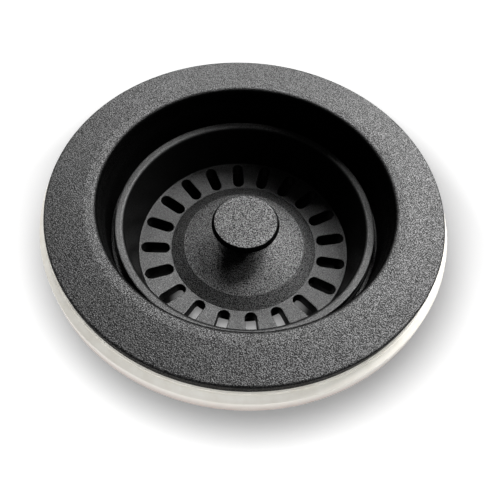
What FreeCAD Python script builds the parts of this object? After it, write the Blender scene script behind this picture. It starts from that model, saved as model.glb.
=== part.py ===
"""Garbage disposal sink flange with a lift-out basket strainer.

Frame: +Z up, millimetres.  The origin is on the flange's axis, in the plane
where the rim's gasket rests on the sink deck.  The rim and the strainer's
mouth are above it, the neck and the clamping parts are below it.
"""
import FreeCAD, Part
import os
import Sketcher

DOC = FreeCAD.newDocument("disposal_flange")
Z_AXIS = FreeCAD.Vector(0, 0, 1)
FULL_TURN = 360

# Driving dimensions, in millimetres or degrees.  Heights are measured from the deck plane.
DIMENSIONS = [
    ("rim_radius", 57.0, "flange rim, outside"),
    ("rim_top", 10.0, "height of the rim's face"),
    ("rim_thickness", 3.7, "rim, top to underside"),
    ("rim_edge_round", 0.6, "round on the rim's outer edge"),
    ("mouth_radius", 43.0, "throat wall under the rolled mouth"),
    ("mouth_crown", 46.3, "where the rim starts to dip towards the throat"),
    ("mouth_crown_round", 6.0, "round between the rim's face and the dip"),
    ("mouth_dip", 0.6, "depth of the dip where it turns down into the throat"),
    ("mouth_round", 1.6, "round between the dip and the throat wall"),
    ("throat_radius", 42.4, "throat wall above the strainer seat"),
    ("throat_step", 2.0, "height where the throat narrows"),
    ("throat_bevel", 2.5, "height of the narrowing"),
    ("seat_height", -7.0, "ledge that carries the strainer"),
    ("neck_bore", 39.4, "inside of the neck"),
    ("neck_radius", 41.2, "outside of the neck"),
    ("neck_bottom", -50.0, "lower end of the neck"),
    ("collar_radius", 43.9, "collar that fills the sink hole"),
    ("collar_bottom", -8.6, "lower end of the collar"),
    ("collar_bevel", 1.6, "slope from the collar to the neck"),
    ("boss_radius", 44.3, "boss that centres the rim gasket"),
    ("groove_radius", 40.2, "floor of the snap ring groove"),
    ("groove_top", -30.2, "upper side of the snap ring groove"),
    ("groove_height", 2.6, "snap ring groove"),
    ("gasket_bore", 44.6, "rim gasket, inside"),
    ("gasket_radius", 60.0, "rim gasket, widest at its foot"),
    ("gasket_draft", 0.5, "rim gasket, lean of its side"),
    ("gasket_side", 5.0, "rim gasket, height of its side"),
    ("gasket_lip", 57.45, "rim gasket, edge of the land under the rim"),
    ("gasket_step", 0.45, "rim gasket, step below that land"),
    ("gasket_rib_depth", 0.8, "grooves in the rim gasket's foot"),
    ("deck_gap", 10.0, "room for the sink deck, as assembled"),
    ("clamp_bore", 44.4, "fibre gasket and backup flange, inside"),
    ("fibre_radius", 54.0, "fibre gasket, outside"),
    ("fibre_thickness", 1.6, "fibre gasket"),
    ("backup_radius", 54.6, "backup flange, outside"),
    ("backup_thickness", 2.4, "backup flange plate"),
    ("backup_skirt", 5.0, "backup flange, height at its rim"),
    ("backup_skirt_wall", 1.8, "backup flange, wall of its rim"),
    ("ring_bore", 41.6, "mounting ring, inside"),
    ("ring_radius", 46.5, "mounting ring, outside"),
    ("ring_thickness", 4.0, "mounting ring"),
    ("ear_reach", 48.8, "circle of the three clamp screws"),
    ("ear_radius", 5.6, "end of each screw ear"),
    ("hook_inner", 45.0, "disposer hooks, inside"),
    ("hook_outer", 47.6, "disposer hooks, outside"),
    ("hook_width", 17.0, "disposer hooks"),
    ("hook_drop", 8.0, "disposer hooks, below the ring"),
    ("hook_toe", 2.0, "disposer hooks, thickness of the toe"),
    ("hook_toe_reach", 51.0, "disposer hooks, outside of the toe"),
    ("screw_radius", 3.175, "clamp screw, quarter inch"),
    ("screw_clearance", 0.05, "clamp screw in its tapped hole, radial"),
    ("screw_length", 27.0, "clamp screw under the head"),
    ("screw_tip", 1.0, "chamfer at the clamp screw's tip"),
    ("screw_head_radius", 5.4, "clamp screw head, across corners / 2"),
    ("screw_head", 4.2, "clamp screw head"),
    ("screw_slot_width", 1.4, "slot in the clamp screw head"),
    ("screw_slot_depth", 1.8, "slot in the clamp screw head"),
    ("snap_wire", 1.15, "snap ring wire, radius"),
    ("snap_centre", 41.5, "snap ring, to the middle of its wire"),
    ("snap_turn", 342.0, "snap ring, angle that the wire covers"),
    ("lip_radius", 40.4, "strainer lip, outside"),
    ("lip_inner", 37.7, "strainer lip, inside"),
    ("lip_crest", 39.9, "strainer lip, where its slope reaches the top"),
    ("lip_top", -2.7, "strainer lip, highest line"),
    ("lip_slope", 0.4, "strainer lip, drop of its slope towards the basket"),
    ("lip_round", 1.4, "strainer lip, rounding into the basket"),
    ("lip_crest_round", 1.0, "strainer lip, rounding of its crest"),
    ("lip_edge", 0.3, "strainer lip, rounding of its outer edge"),
    ("seal_thickness", 1.4, "rubber ring under the strainer lip"),
    ("seal_bore", 39.2, "rubber ring, inside"),
    ("seal_radius", 41.2, "rubber ring, outside"),
    ("wall_outer", 38.8, "strainer wall under the lip, outside"),
    ("floor_radius", 35.6, "strainer floor"),
    ("floor_edge", -19.0, "strainer floor at its edge"),
    ("floor_centre", -20.6, "strainer floor at the centre cap"),
    ("floor_thickness", 4.6, "strainer floor"),
    ("wall_foot", 37.4, "strainer wall at the floor, outside"),
    ("foot_round", 1.6, "strainer, rounding under the wall"),
    ("floor_round", 0.7, "strainer, inside corner of the floor"),
    ("slot_count", 20, "slots in the strainer floor"),
    ("slot_inner", 25.5, "slots, inner end"),
    ("slot_outer", 34.8, "slots, outer end"),
    ("slot_width", 3.8, "slots"),
    ("slot_start", 9.75, "angle of the first slot"),
    ("cap_radius", 25.05, "centre cap, at the floor"),
    ("cap_shoulder", 20.5, "centre cap, top of its bevel"),
    ("cap_height", 1.8, "centre cap, height of its bevel"),
    ("cap_dome", 1.7, "centre cap, rise from bevel to collar"),
    ("cap_neck", 9.4, "centre cap, where the flare starts"),
    ("cap_collar", 6.6, "centre cap, collar round the knob's shank"),
    ("cap_collar_rise", 1.1, "centre cap, height of the collar"),
    ("spigot_radius", 8.0, "centre cap, spigot through the floor"),
    ("spigot_bottom", -28.6, "centre cap, lower end of the spigot"),
    ("washer_radius", 12.4, "hub washer"),
    ("washer_thickness", 0.6, "hub washer"),
    ("hub_nut_radius", 11.6, "hub nut, across corners / 2"),
    ("hub_nut_height", 2.6, "hub nut"),
    ("shank_radius", 5.0, "knob shank"),
    ("shank_clearance", 0.06, "knob shank in the centre cap, radial"),
    ("shank_bottom", -17.6, "knob shank, lower end"),
    ("bush_top", -23.2, "guide bush, upper end"),
    ("oring_height", -26.0, "middle of the stem's O-ring"),
    ("oring_wire", 0.8, "O-ring section, radius"),
    ("knob_face", 10.1, "knob, flat face"),
    ("knob_radius", 11.3, "knob, widest"),
    ("knob_top", -6.2, "knob, height of its face"),
    ("knob_edge", -7.7, "knob, height of its widest line"),
    ("knob_under", -10.0, "knob, underside"),
    ("knob_under_radius", 8.6, "knob, foot of its side"),
    ("knob_face_round", 0.3, "knob, rounding of its face"),
    ("knob_edge_round", 0.45, "knob, roundings of its side"),
    ("knob_shank_round", 0.9, "knob, rounding into the shank"),
    ("insert_radius", 3.9, "threaded insert in the knob"),
    ("insert_top", -9.2, "threaded insert, upper end"),
    ("stem_radius", 3.0, "stem"),
    ("stem_clearance", 0.05, "stem in its bush, radial"),
    ("stem_thread", 2.5, "stem, threaded ends"),
    ("stem_bottom", -37.4, "stem, lower end"),
    ("clip_radius", 4.6, "stem clip"),
    ("clip_top", -28.9, "stem clip, upper side"),
    ("clip_thickness", 0.8, "stem clip"),
    ("plate_radius", 11.0, "washers of the stopper"),
    ("plate_thickness", 0.9, "washers of the stopper"),
    ("stopper_radius", 25.2, "rubber stopper"),
    ("stopper_top", -25.7, "rubber stopper, upper edge"),
    ("stopper_recess", 15.2, "rubber stopper, hollow round the hub nut"),
    ("stopper_side", 3.2, "rubber stopper, height of its side"),
    ("stopper_foot", 14.5, "rubber stopper, lower face"),
    ("stopper_bottom", -33.6, "rubber stopper, lower face"),
    ("stem_nut_radius", 4.6, "stem nut, across corners / 2"),
    ("stem_nut_height", 2.4, "stem nut"),
    ("fit_gap", 0.03, "gap left round pressed and threaded pieces"),
]


class Size:
    """A number together with the spreadsheet expression that gives it."""

    def __init__(self, value, text):
        self.value = value
        self.text = text

    def __add__(self, other):
        other = as_size(other)
        return Size(self.value + other.value, f"({self.text} + {other.text})")

    def __sub__(self, other):
        other = as_size(other)
        return Size(self.value - other.value, f"({self.text} - {other.text})")

    def __mul__(self, other):
        other = as_size(other)
        return Size(self.value * other.value, f"({self.text} * {other.text})")

    def __truediv__(self, other):
        other = as_size(other)
        return Size(self.value / other.value, f"({self.text} / {other.text})")

    def __neg__(self):
        return as_size(0) - self


def as_size(number):
    """A plain number as a Size; a Size stays as it is."""
    if isinstance(number, Size):
        return number
    return Size(float(number), repr(float(number)))


class Dimensions:
    """Holds one Size for each cell of the spreadsheet, under the cell's alias."""


def make_sheet():
    """Write the driving dimensions to the spreadsheet and return them as Sizes."""
    sheet = DOC.addObject("Spreadsheet::Sheet", "Dimensions")
    sizes = Dimensions()
    for row, (alias, value, note) in enumerate(DIMENSIONS, start=1):
        sheet.set(f"A{row}", alias)
        sheet.set(f"B{row}", str(value))
        sheet.set(f"C{row}", note)
        sheet.setAlias(f"B{row}", alias)
        setattr(sizes, alias, Size(float(value), f"Dimensions.{alias}"))
    return sizes


D = make_sheet()
NODES = []


# ---------------------------------------------------------------- helpers

def new_body(name):
    """An empty PartDesign body that becomes the node of that name."""
    body = DOC.addObject("PartDesign::Body", name)
    body.Label = name
    NODES.append(body)
    return body


def origin_plane(body, role):
    """One of the body's own origin planes, such as XY_Plane."""
    return next(item for item in body.Origin.OriginFeatures if item.Role == role)


def new_sketch(body, name, role, height=None, turn=0):
    """A sketch on an origin plane, lifted along its normal and turned about it by turn degrees."""
    sketch = body.newObject("Sketcher::SketchObject", name)
    sketch.AttachmentSupport = (origin_plane(body, role), [""])
    sketch.MapMode = "FlatFace"
    if height is not None:
        sketch.setExpression("AttachmentOffset.Base.z", as_size(height).text)
    sketch.setExpression("AttachmentOffset.Rotation.Angle", as_size(turn).text)
    return sketch


def constrain(sketch, kind, geometry, corner, size):
    """Tie one coordinate of a sketch point to an expression."""
    size = as_size(size)
    if size.value == 0:
        axis = -2 if kind == "DistanceX" else -1
        sketch.addConstraint(Sketcher.Constraint("PointOnObject", geometry, corner, axis))
        return
    index = sketch.addConstraint(Sketcher.Constraint(kind, geometry, corner, size.value))
    sketch.setExpression(f"Constraints[{index}]", size.text)


def polygon(sketch, points):
    """A closed outline through points, each a pair of Sizes in the sketch's own axes."""
    corners = []
    for across, up in points:
        corners.append(FreeCAD.Vector(as_size(across).value, as_size(up).value, 0))
    count = len(corners)
    first = sketch.GeometryCount
    for index in range(count):
        line = Part.LineSegment(corners[index], corners[(index + 1) % count])
        sketch.addGeometry(line)
    for index in range(count):
        after = first + (index + 1) % count
        sketch.addConstraint(Sketcher.Constraint("Coincident", first + index, 2, after, 1))
    for index, (across, up) in enumerate(points):
        constrain(sketch, "DistanceX", first + index, 1, across)
        constrain(sketch, "DistanceY", first + index, 1, up)


def circle(sketch, radius, across=0, up=0):
    """A circle of the sketch, centred at across, up."""
    radius = as_size(radius)
    centre = FreeCAD.Vector(as_size(across).value, as_size(up).value, 0)
    index = sketch.addGeometry(Part.Circle(centre, Z_AXIS, radius.value))
    constrain(sketch, "DistanceX", index, 3, across)
    constrain(sketch, "DistanceY", index, 3, up)
    tie = sketch.addConstraint(Sketcher.Constraint("Radius", index, radius.value))
    sketch.setExpression(f"Constraints[{tie}]", radius.text)


def revolve(body, name, points, kind="Revolution"):
    """Turn an outline of radius, height pairs about the Z axis."""
    sketch = new_sketch(body, f"{name}_outline", "XZ_Plane")
    polygon(sketch, points)
    feature = body.newObject(f"PartDesign::{kind}", name)
    feature.Profile = sketch
    feature.ReferenceAxis = (sketch, ["V_Axis"])
    feature.Angle = FULL_TURN
    sketch.Visibility = False
    DOC.recompute()
    return feature


def pad(body, name, sketch, length, downwards=False):
    """Give a sketch a thickness."""
    feature = body.newObject("PartDesign::Pad", name)
    feature.Profile = sketch
    feature.setExpression("Length", as_size(length).text)
    feature.Reversed = downwards
    DOC.recompute()
    return feature


def pocket_through(body, name, sketch):
    """Cut a sketch through the whole body, and make sure that it cut something."""
    before = body.Shape.Volume
    feature = body.newObject("PartDesign::Pocket", name)
    feature.Profile = sketch
    feature.Type = "ThroughAll"
    feature.Midplane = True
    DOC.recompute()
    if not feature.Shape.Volume < before:
        raise RuntimeError(f"{name} cut nothing")
    return feature


def repeat_round(body, name, features, count):
    """Repeat features evenly about the Z axis."""
    pattern = body.newObject("PartDesign::PolarPattern", name)
    pattern.Originals = features
    pattern.Axis = (features[0].Profile[0], ["N_Axis"])
    pattern.Angle = FULL_TURN
    pattern.setExpression("Occurrences", as_size(count).text)
    body.Tip = pattern
    DOC.recompute()
    return pattern


def rings_at(shape, spots):
    """Names of the circular edges about the Z axis at the given radius, height pairs."""
    tolerance = 0.02
    names = []
    for number, edge in enumerate(shape.Edges, start=1):
        if not isinstance(edge.Curve, Part.Circle):
            continue
        centre = edge.Curve.Center
        if abs(centre.x) > tolerance or abs(centre.y) > tolerance:
            continue
        for radius, height in spots:
            near_radius = abs(edge.Curve.Radius - as_size(radius).value) < tolerance
            if near_radius and abs(centre.z - as_size(height).value) < tolerance:
                names.append(f"Edge{number}")
    return names


def dress(body, kind, name, size, spots):
    """Fillet or chamfer the circular edges at the given radius, height pairs."""
    base = body.Tip
    names = rings_at(base.Shape, spots)
    if len(names) < len(spots):
        raise RuntimeError(f"{name}: {len(names)} edges found for {len(spots)} spots")
    feature = body.newObject(f"PartDesign::{kind}", name)
    feature.Base = (base, names)
    property_name = "Radius" if kind == "Fillet" else "Size"
    feature.setExpression(property_name, as_size(size).text)
    DOC.recompute()
    return feature


def hexagon(sketch, corner_radius):
    """A regular hexagon about the sketch's origin, with corners on the first axis."""
    half = as_size(corner_radius) / 2
    rise = as_size(corner_radius) * 0.8660254
    across = as_size(corner_radius)
    polygon(sketch, [(across, 0), (half, rise), (-half, rise),
                     (-across, 0), (-half, -rise), (half, -rise)])


def nut(name, corner_radius, bore, top, height):
    """A hexagon nut that hangs below top, with its corners eased on both faces."""
    body = new_body(name)
    sketch = new_sketch(body, f"{name}_outline", "XY_Plane", top)
    hexagon(sketch, corner_radius)
    circle(sketch, bore)
    pad(body, f"{name}_block", sketch, height, downwards=True)
    ease_corners(body, name, corner_radius, top, top - height)
    return body


def ease_corners(body, name, corner_radius, top, bottom):
    """Turn a hexagon's corners off at 30 degrees on both faces."""
    flat = as_size(corner_radius) * 0.88
    out = as_size(corner_radius) * 1.1
    drop = (out - flat) * 0.577
    for end, face, away in (("top", top, -drop), ("bottom", bottom, drop)):
        points = [(flat, face), (out, face), (out, face + away)]
        revolve(body, f"{name}_{end}_easing", points, kind="Groove")


def washer(name, inner, outer, top, thickness):
    """A flat ring that hangs below top."""
    body = new_body(name)
    bottom = top - thickness
    revolve(body, f"{name}_plate", [(inner, top), (outer, top), (outer, bottom), (inner, bottom)])
    return body


# ---------------------------------------------------------------- sink flange and its gasket

RIM_UNDER = D.rim_top - D.rim_thickness


def sink_flange():
    """Rim, throat, strainer ledge, sink-hole collar and neck, in one turned piece."""
    body = new_body("sink_flange")
    groove_bottom = D.groove_top - D.groove_height
    dip = D.rim_top - D.mouth_dip
    revolve(body, "flange_turning", [
        (D.mouth_radius, dip),
        (D.mouth_crown, D.rim_top),
        (D.rim_radius, D.rim_top),
        (D.rim_radius, RIM_UNDER),
        (D.boss_radius, RIM_UNDER),
        (D.boss_radius, as_size(0)),
        (D.collar_radius, as_size(0)),
        (D.collar_radius, D.collar_bottom),
        (D.neck_radius, D.collar_bottom - D.collar_bevel),
        (D.neck_radius, D.groove_top),
        (D.groove_radius, D.groove_top),
        (D.groove_radius, groove_bottom),
        (D.neck_radius, groove_bottom),
        (D.neck_radius, D.neck_bottom),
        (D.neck_bore, D.neck_bottom),
        (D.neck_bore, D.seat_height),
        (D.throat_radius, D.seat_height),
        (D.throat_radius, D.throat_step),
        (D.mouth_radius, D.throat_step + D.throat_bevel),
    ])
    dress(body, "Fillet", "mouth_crown_rounding", D.mouth_crown_round, [(D.mouth_crown, D.rim_top)])
    dress(body, "Fillet", "mouth_roll", D.mouth_round, [(D.mouth_radius, dip)])
    dress(body, "Fillet", "rim_edge", D.rim_edge_round, [(D.rim_radius, D.rim_top)])
    small = D.rim_edge_round / 2
    dress(body, "Fillet", "rim_under_edge", small, [(D.rim_radius, RIM_UNDER)])
    dress(body, "Fillet", "seat_edge", small, [(D.neck_bore, D.seat_height)])
    dress(body, "Chamfer", "neck_end", small,
          [(D.neck_radius, D.neck_bottom), (D.neck_bore, D.neck_bottom)])
    return body


def rim_gasket():
    """Thick pale ring between the rim and the sink deck, a little wider than the rim."""
    body = new_body("rim_gasket")
    side_top = D.gasket_radius - D.gasket_draft
    land = RIM_UNDER
    revolve(body, "gasket_ring", [
        (D.gasket_bore, 0),
        (D.gasket_radius, 0),
        (side_top, D.gasket_side),
        (D.gasket_lip + D.gasket_step, land - D.gasket_step),
        (D.gasket_lip, land - D.gasket_step),
        (D.gasket_lip, land),
        (D.gasket_bore, land),
    ])
    dress(body, "Fillet", "gasket_shoulder", D.gasket_step, [(side_top, D.gasket_side)])
    dress(body, "Fillet", "gasket_foot", D.gasket_step, [(D.gasket_radius, 0)])
    rib_gap = (D.gasket_radius - D.gasket_bore) / 4
    for number in (1, 2, 3):
        middle = D.gasket_bore + rib_gap * number
        revolve(body, f"gasket_rib_{number}", [
            (middle - D.gasket_rib_depth, 0),
            (middle + D.gasket_rib_depth, 0),
            (middle, D.gasket_rib_depth),
        ], kind="Groove")
    return body


# ---------------------------------------------------------------- clamping parts under the sink

FIBRE_TOP = -D.deck_gap
BACKUP_TOP = FIBRE_TOP - D.fibre_thickness
SCREW_TOP = BACKUP_TOP - D.backup_thickness
RING_BOTTOM = D.groove_top
RING_TOP = RING_BOTTOM + D.ring_thickness
SCREW_ANGLES = (70, 190, 310)
FIRST_EAR = SCREW_ANGLES[0] - 90


def backup_flange():
    """Pressed ring that spreads the clamp screws' push over the fibre gasket."""
    body = new_body("backup_flange")
    skirt_bottom = BACKUP_TOP - D.backup_skirt
    skirt_inner = D.backup_radius - D.backup_skirt_wall
    revolve(body, "backup_pressing", [
        (D.clamp_bore, BACKUP_TOP),
        (D.backup_radius, BACKUP_TOP),
        (D.backup_radius, skirt_bottom),
        (skirt_inner, skirt_bottom),
        (skirt_inner, SCREW_TOP),
        (D.clamp_bore, SCREW_TOP),
    ])
    dress(body, "Fillet", "backup_edge", D.backup_thickness / 2, [(D.backup_radius, BACKUP_TOP)])
    dress(body, "Fillet", "backup_bend", D.backup_thickness / 3, [(skirt_inner, SCREW_TOP)])
    return body


def mounting_ring():
    """Ring with three tapped ears for the clamp screws and three hooks for the disposer."""
    body = new_body("mounting_ring")
    sketch = new_sketch(body, "ring_outline", "XY_Plane", RING_BOTTOM)
    circle(sketch, D.ring_radius)
    circle(sketch, D.ring_bore)
    pad(body, "ring_plate", sketch, D.ring_thickness)

    ear = new_sketch(body, "ear_outline", "XY_Plane", RING_BOTTOM, FIRST_EAR)
    tangent = D.ear_radius
    root = (D.ring_radius + D.ring_bore) / 2
    polygon(ear, [(tangent, root), (tangent, D.ear_reach), (-tangent, D.ear_reach), (-tangent, root)])
    ear_pad = pad(body, "ear_plate", ear, D.ring_thickness)
    tip = new_sketch(body, "ear_tip_outline", "XY_Plane", RING_BOTTOM, FIRST_EAR)
    circle(tip, D.ear_radius, 0, D.ear_reach)
    tip_pad = pad(body, "ear_tip", tip, D.ring_thickness)
    repeat_round(body, "ears", [ear_pad, tip_pad], len(SCREW_ANGLES))

    holes = new_sketch(body, "ear_hole", "XY_Plane", RING_BOTTOM, FIRST_EAR)
    circle(holes, D.screw_radius + D.screw_clearance, 0, D.ear_reach)
    hole = pocket_through(body, "ear_tapping", holes)
    repeat_round(body, "ear_tappings", [hole], len(SCREW_ANGLES))

    hook = disposer_hook(body)
    repeat_round(body, "hooks", hook, len(SCREW_ANGLES))
    return body


def disposer_hook(body):
    """A bracket that drops from the ring and turns outwards in a toe."""
    half = D.hook_width / 2
    hook_bottom = RING_BOTTOM - D.hook_drop
    leg = new_sketch(body, "hook_leg_outline", "XY_Plane", hook_bottom, FIRST_EAR)
    polygon(leg, [(half, -D.hook_inner), (half, -D.hook_outer), (-half, -D.hook_outer), (-half, -D.hook_inner)])
    leg_pad = pad(body, "hook_leg", leg, D.hook_drop + D.ring_thickness)
    toe = new_sketch(body, "hook_toe_outline", "XY_Plane", hook_bottom, FIRST_EAR)
    polygon(toe, [(half, -D.hook_inner), (half, -D.hook_toe_reach),
                  (-half, -D.hook_toe_reach), (-half, -D.hook_inner)])
    toe_pad = pad(body, "hook_toe_plate", toe, D.hook_toe)
    return [leg_pad, toe_pad]


def clamp_screw(number, angle):
    """Quarter-inch screw, head down, whose tip presses on the backup flange."""
    body = new_body(f"clamp_screw_{number}")
    head_top = SCREW_TOP - D.screw_length
    revolve(body, f"screw_{number}_shank", [
        (0, SCREW_TOP),
        (D.screw_radius - D.screw_tip, SCREW_TOP),
        (D.screw_radius, SCREW_TOP - D.screw_tip),
        (D.screw_radius, head_top),
        (0, head_top),
    ])
    head = new_sketch(body, f"screw_{number}_head_outline", "XY_Plane", head_top)
    hexagon(head, D.screw_head_radius)
    pad(body, f"screw_{number}_head", head, D.screw_head, downwards=True)
    slot = new_sketch(body, f"screw_{number}_slot_outline", "XZ_Plane")
    half = D.screw_slot_width / 2
    end = head_top - D.screw_head
    reach = D.screw_head_radius
    polygon(slot, [(half, end - reach), (half, end + D.screw_slot_depth),
                   (-half, end + D.screw_slot_depth), (-half, end - reach)])
    pocket_through(body, f"screw_{number}_slot", slot)
    turn = FreeCAD.Rotation(Z_AXIS, angle)
    place = turn.multVec(FreeCAD.Vector(D.ear_reach.value, 0, 0))
    body.Placement = FreeCAD.Placement(place, turn)
    return body


def snap_ring():
    """Open ring of round wire that sits in the neck's groove and carries the mounting ring."""
    wire = DOC.addObject("Part::Torus", "snap_ring")
    wire.Label = "snap_ring"
    wire.setExpression("Radius1", D.snap_centre.text)
    wire.setExpression("Radius2", D.snap_wire.text)
    wire.setExpression("Angle3", D.snap_turn.text)
    height = D.groove_top - D.snap_wire
    wire.setExpression("Placement.Base.z", height.text)
    NODES.append(wire)
    return wire


# ---------------------------------------------------------------- basket strainer

FLOOR_BOTTOM = D.floor_centre - D.floor_thickness
HUB_BORE = D.spigot_radius + D.fit_gap


def strainer_basket():
    """Cup with a rounded lip, a smooth wall and a thick floor with radial slots."""
    body = new_body("strainer_basket")
    lip_bottom = D.seat_height + D.seal_thickness
    lip_inside = D.lip_top - D.lip_slope
    foot = D.floor_edge - D.floor_thickness
    revolve(body, "basket_cup", [
        (HUB_BORE, D.floor_centre),
        (D.cap_radius, D.floor_centre),
        (D.floor_radius, D.floor_edge),
        (D.lip_inner, lip_inside),
        (D.lip_crest, D.lip_top),
        (D.lip_radius, D.lip_top),
        (D.lip_radius, lip_bottom),
        (D.wall_outer, lip_bottom),
        (D.wall_foot, foot),
        (D.cap_radius, FLOOR_BOTTOM),
        (HUB_BORE, FLOOR_BOTTOM),
    ])
    dress(body, "Fillet", "lip_rounding", D.lip_round, [(D.lip_inner, lip_inside)])
    dress(body, "Fillet", "lip_crest_rounding", D.lip_crest_round, [(D.lip_crest, D.lip_top)])
    dress(body, "Fillet", "lip_edge_rounding", D.lip_edge, [(D.lip_radius, D.lip_top)])
    dress(body, "Fillet", "foot_rounding", D.foot_round, [(D.wall_foot, foot)])
    dress(body, "Fillet", "floor_corner", D.floor_round, [(D.floor_radius, D.floor_edge)])
    slot = new_sketch(body, "slot_outline", "XY_Plane", D.floor_centre, D.slot_start)
    rounded_slot(slot, D.slot_inner, D.slot_outer, D.slot_width)
    cut = pocket_through(body, "floor_slot", slot)
    repeat_round(body, "floor_slots", [cut], D.slot_count)
    return body


def rounded_slot(sketch, inner, outer, width):
    """A slot along the sketch's first axis, with half-round ends."""
    half = width / 2
    near = inner + half
    far = outer - half
    quarter = 1.5707963
    near_centre = FreeCAD.Vector(near.value, 0, 0)
    far_centre = FreeCAD.Vector(far.value, 0, 0)
    arcs = [
        Part.ArcOfCircle(Part.Circle(near_centre, Z_AXIS, half.value), quarter, 3 * quarter),
        Part.ArcOfCircle(Part.Circle(far_centre, Z_AXIS, half.value), -quarter, quarter),
    ]
    for arc in arcs:
        sketch.addGeometry(arc)
    for side in (1, -1):
        start = FreeCAD.Vector(near.value, side * half.value, 0)
        end = FreeCAD.Vector(far.value, side * half.value, 0)
        sketch.addGeometry(Part.LineSegment(start, end))
    upper, lower = 2, 3
    for line, near_end, far_end in ((upper, 1, 2), (lower, 2, 1)):
        sketch.addConstraint(Sketcher.Constraint("Tangent", 0, near_end, line, 1))
        sketch.addConstraint(Sketcher.Constraint("Tangent", 1, far_end, line, 2))
    for arc, centre in ((0, near), (1, far)):
        constrain(sketch, "DistanceX", arc, 3, centre)
        constrain(sketch, "DistanceY", arc, 3, 0)
    tie = sketch.addConstraint(Sketcher.Constraint("Radius", 0, half.value))
    sketch.setExpression(f"Constraints[{tie}]", half.text)


def basket_seal():
    """Rubber ring under the strainer's lip."""
    top = D.seat_height + D.seal_thickness
    body = washer("basket_seal", D.seal_bore, D.seal_radius, top, D.seal_thickness)
    dress(body, "Fillet", "seal_rounding", D.seal_thickness / 4, [(D.seal_radius, top)])
    return body


CAP_SHOULDER_TOP = D.floor_centre + D.cap_height
CAP_TOP = CAP_SHOULDER_TOP + D.cap_dome + D.cap_collar_rise
SHANK_BORE = D.shank_radius + D.shank_clearance


def centre_cap():
    """Bevelled disc over the hub, with a flared collar and a spigot through the floor."""
    body = new_body("centre_cap")
    revolve(body, "cap_turning", [
        (SHANK_BORE, CAP_TOP),
        (D.cap_collar, CAP_TOP),
        (D.cap_neck, CAP_TOP - D.cap_collar_rise),
        (D.cap_shoulder, CAP_SHOULDER_TOP),
        (D.cap_radius, D.floor_centre),
        (D.spigot_radius, D.floor_centre),
        (D.spigot_radius, D.spigot_bottom),
        (SHANK_BORE, D.spigot_bottom),
    ])
    dress(body, "Fillet", "cap_shoulder_round", D.cap_height / 4, [(D.cap_shoulder, CAP_SHOULDER_TOP)])
    dress(body, "Fillet", "cap_flare", D.cap_height, [(D.cap_neck, CAP_TOP - D.cap_collar_rise)])
    dress(body, "Fillet", "cap_collar_round", D.cap_collar_rise / 4, [(D.cap_collar, CAP_TOP)])
    return body


def guide_bush():
    """Plain bush pressed into the spigot, with a groove for the stem's O-ring."""
    body = new_body("guide_bush")
    outer = SHANK_BORE - D.fit_gap
    bore = D.stem_radius + D.stem_clearance
    groove = D.stem_radius + D.oring_wire * 2 + D.fit_gap * 2
    half = D.oring_wire + D.fit_gap
    revolve(body, "bush_turning", [
        (bore, D.bush_top),
        (outer, D.bush_top),
        (outer, D.spigot_bottom),
        (bore, D.spigot_bottom),
        (bore, D.oring_height - half),
        (groove, D.oring_height - half),
        (groove, D.oring_height + half),
        (bore, D.oring_height + half),
    ])
    return body


def stem_o_ring():
    """Rubber ring in the bush that seals and grips the stem."""
    ring = DOC.addObject("Part::Torus", "stem_o_ring")
    ring.Label = "stem_o_ring"
    middle = D.stem_radius + D.stem_clearance + D.oring_wire
    ring.setExpression("Radius1", middle.text)
    ring.setExpression("Radius2", D.oring_wire.text)
    ring.setExpression("Placement.Base.z", D.oring_height.text)
    NODES.append(ring)
    return ring


# ---------------------------------------------------------------- knob, stem and stopper

def knob():
    """Mushroom knob with a flat face, a rounded edge and a short shank."""
    body = new_body("knob")
    insert_bore = D.insert_radius + D.fit_gap
    revolve(body, "knob_turning", [
        (0, D.knob_top),
        (D.knob_face, D.knob_top),
        (D.knob_radius, D.knob_edge),
        (D.knob_under_radius, D.knob_under),
        (D.shank_radius, D.knob_under),
        (D.shank_radius, D.shank_bottom),
        (insert_bore, D.shank_bottom),
        (insert_bore, D.insert_top),
        (0, D.insert_top),
    ])
    dress(body, "Fillet", "knob_face_round", D.knob_face_round, [(D.knob_face, D.knob_top)])
    dress(body, "Fillet", "knob_edge_round", D.knob_edge_round,
          [(D.knob_radius, D.knob_edge), (D.knob_under_radius, D.knob_under)])
    dress(body, "Fillet", "knob_shank_round", D.knob_shank_round, [(D.shank_radius, D.knob_under)])
    return body


def knob_insert():
    """Threaded brass sleeve moulded into the knob."""
    bore = D.stem_thread + D.fit_gap
    height = D.insert_top - D.shank_bottom
    return washer("knob_insert", bore, D.insert_radius, D.insert_top, height)


def stem():
    """Steel rod, turned down to threads at both ends."""
    body = new_body("stem")
    lower_thread = D.clip_top - D.clip_thickness
    revolve(body, "stem_turning", [
        (0, D.insert_top - D.fit_gap),
        (D.stem_thread, D.insert_top - D.fit_gap),
        (D.stem_thread, D.shank_bottom),
        (D.stem_radius, D.shank_bottom),
        (D.stem_radius, lower_thread),
        (D.stem_thread, lower_thread),
        (D.stem_thread, D.stem_bottom),
        (0, D.stem_bottom),
    ])
    dress(body, "Chamfer", "stem_end", D.stem_thread / 5, [(D.stem_thread, D.stem_bottom)])
    return body


STOPPER_WEB_TOP = D.clip_top - D.clip_thickness - D.plate_thickness
STEM_HOLE = D.stem_thread + D.fit_gap


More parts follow.
